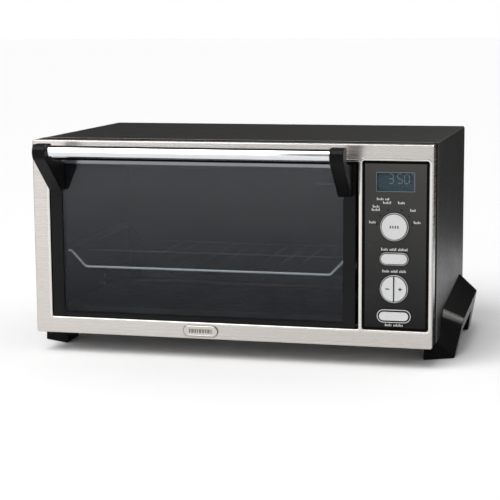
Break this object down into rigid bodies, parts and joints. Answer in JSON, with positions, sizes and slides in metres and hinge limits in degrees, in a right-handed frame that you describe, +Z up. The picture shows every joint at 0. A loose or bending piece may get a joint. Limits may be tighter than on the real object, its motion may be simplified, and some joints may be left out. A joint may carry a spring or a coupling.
{
  "type": "toaster oven",
  "caption": "Countertop toaster oven: drop-down glass door with a bar handle, wire rack and crumb tray inside, push-button panel with a display on the right, moulded side legs.",
  "frame": {"origin": "on the worktop, under the centre of the whole oven's bounding box", "axes": "+X to the oven's right as its user faces it, +Y from the door to the back, +Z up"},
  "size_m": [0.5266, 0.372, 0.256],
  "materials": {
    "brushed_steel": "horizontally brushed stainless sheet",
    "header_steel": "satin rolled strip",
    "polished_bar": "polished",
    "rack_chrome": "plated wire",
    "pin_steel": "zinc plated",
    "cover_black": "satin baked enamel",
    "door_black": "semi-gloss black",
    "fascia_black": "gloss moulded panel",
    "plastic_black": "fine-grained moulding",
    "button_silver": "silver painted",
    "door_glass": "tinted tempered glass",
    "display_lens": "tinted clear lens",
    "display_blue": "liquid crystal block",
    "liner_coat": "dark non-stick coating",
    "liner_steel": "aluminised sheet",
    "fan_aluminium": "stamped",
    "heater_metal": "heat-tinted sheath",
    "collar_ceramic": "unglazed",
    "pad_rubber": "matte",
    "board_green": "solder mask"
  },
  "bodies": {
    "oven": {"front_bezel": "brushed_steel", "rail_badge": "polished_bar", "thermostat_probe": "rack_chrome", "rear_screw_1": "pin_steel", "rear_screw_2": "pin_steel", "rear_screw_3": "pin_steel", "rear_screw_4": "pin_steel", "outer_cover": "cover_black", "rear_panel": "cover_black", "control_fascia": "fascia_black", "leg_left": "plastic_black", "leg_right": "plastic_black", "ring_mode": "button_silver", "ring_select": "button_silver", "ring_adjust": "button_silver", "ring_start": "button_silver", "display_lens": "display_lens", "display_module": "display_blue", "cavity_wall_left": "liner_coat", "cavity_wall_right": "liner_coat", "cavity_ceiling": "liner_coat", "cavity_back": "liner_coat", "cavity_floor": "liner_coat", "rack_guide_left": "liner_coat", "rack_guide_right": "liner_coat", "fan_guard": "liner_steel", "base_pan": "liner_steel", "hinge_bracket_left": "liner_steel", "hinge_bracket_right": "liner_steel", "heater_lower": "heater_metal", "heater_upper_front": "heater_metal", "heater_upper_rear": "heater_metal", "fan_motor": "heater_metal", "heater_collar_left": "collar_ceramic", "heater_collar_right": "collar_ceramic", "foot_pad_front_left": "pad_rubber", "foot_pad_front_right": "pad_rubber", "foot_pad_rear_left": "pad_rubber", "foot_pad_rear_right": "pad_rubber", "cord_gland": "pad_rubber", "control_board": "board_green", "power_board": "board_green"},
    "door": {"door_stile_left": "door_black", "door_stile_right": "door_black", "door_sill": "door_black", "door_header": "header_steel", "door_glass": "door_glass", "handle_bar": "polished_bar", "handle_bracket_left": "plastic_black", "handle_bracket_right": "plastic_black", "hinge_pin_left": "pin_steel", "hinge_pin_right": "pin_steel"},
    "mode_button": {"button_mode": "button_silver"},
    "select_button": {"button_select": "button_silver"},
    "minus_button": {"button_minus": "button_silver"},
    "plus_button": {"button_plus": "button_silver"},
    "start_button": {"button_start": "button_silver"},
    "fan": {"fan_impeller": "fan_aluminium"},
    "tray": {"crumb_tray": "liner_steel"},
    "rack": {"wire_rack": "rack_chrome"}
  },
  "joints": [
    {"name": "door_hinge", "type": "hinge", "parent": "oven", "child": "door", "pos_m": [-0.0329, -0.121, 0.049], "axis": [1, 0, 0], "range_deg": [0, 85]},
    {"name": "mode_press", "type": "slide", "parent": "oven", "child": "mode_button", "axis": [0, 1, 0], "range_m": [0, 0.0012], "stiffness_N_per_m": 300},
    {"name": "select_press", "type": "slide", "parent": "oven", "child": "select_button", "axis": [0, 1, 0], "range_m": [0, 0.0012], "stiffness_N_per_m": 300},
    {"name": "minus_press", "type": "slide", "parent": "oven", "child": "minus_button", "axis": [0, 1, 0], "range_m": [0, 0.0012], "stiffness_N_per_m": 300},
    {"name": "plus_press", "type": "slide", "parent": "oven", "child": "plus_button", "axis": [0, 1, 0], "range_m": [0, 0.0012], "stiffness_N_per_m": 300},
    {"name": "start_press", "type": "slide", "parent": "oven", "child": "start_button", "axis": [0, 1, 0], "range_m": [0, 0.0012], "stiffness_N_per_m": 300},
    {"name": "fan_spin", "type": "hinge", "parent": "oven", "child": "fan", "pos_m": [0.154, 0.056, 0.175], "axis": [1, 0, 0], "continuous": true},
    {"name": "crumb_tray_slide", "type": "slide", "parent": "oven", "child": "tray", "axis": [0, 1, 0], "range_m": [0, 0.24]},
    {"name": "rack_slide", "type": "slide", "parent": "oven", "child": "rack", "axis": [0, -1, 0], "range_m": [-0.02, 0.005]}
  ]
}
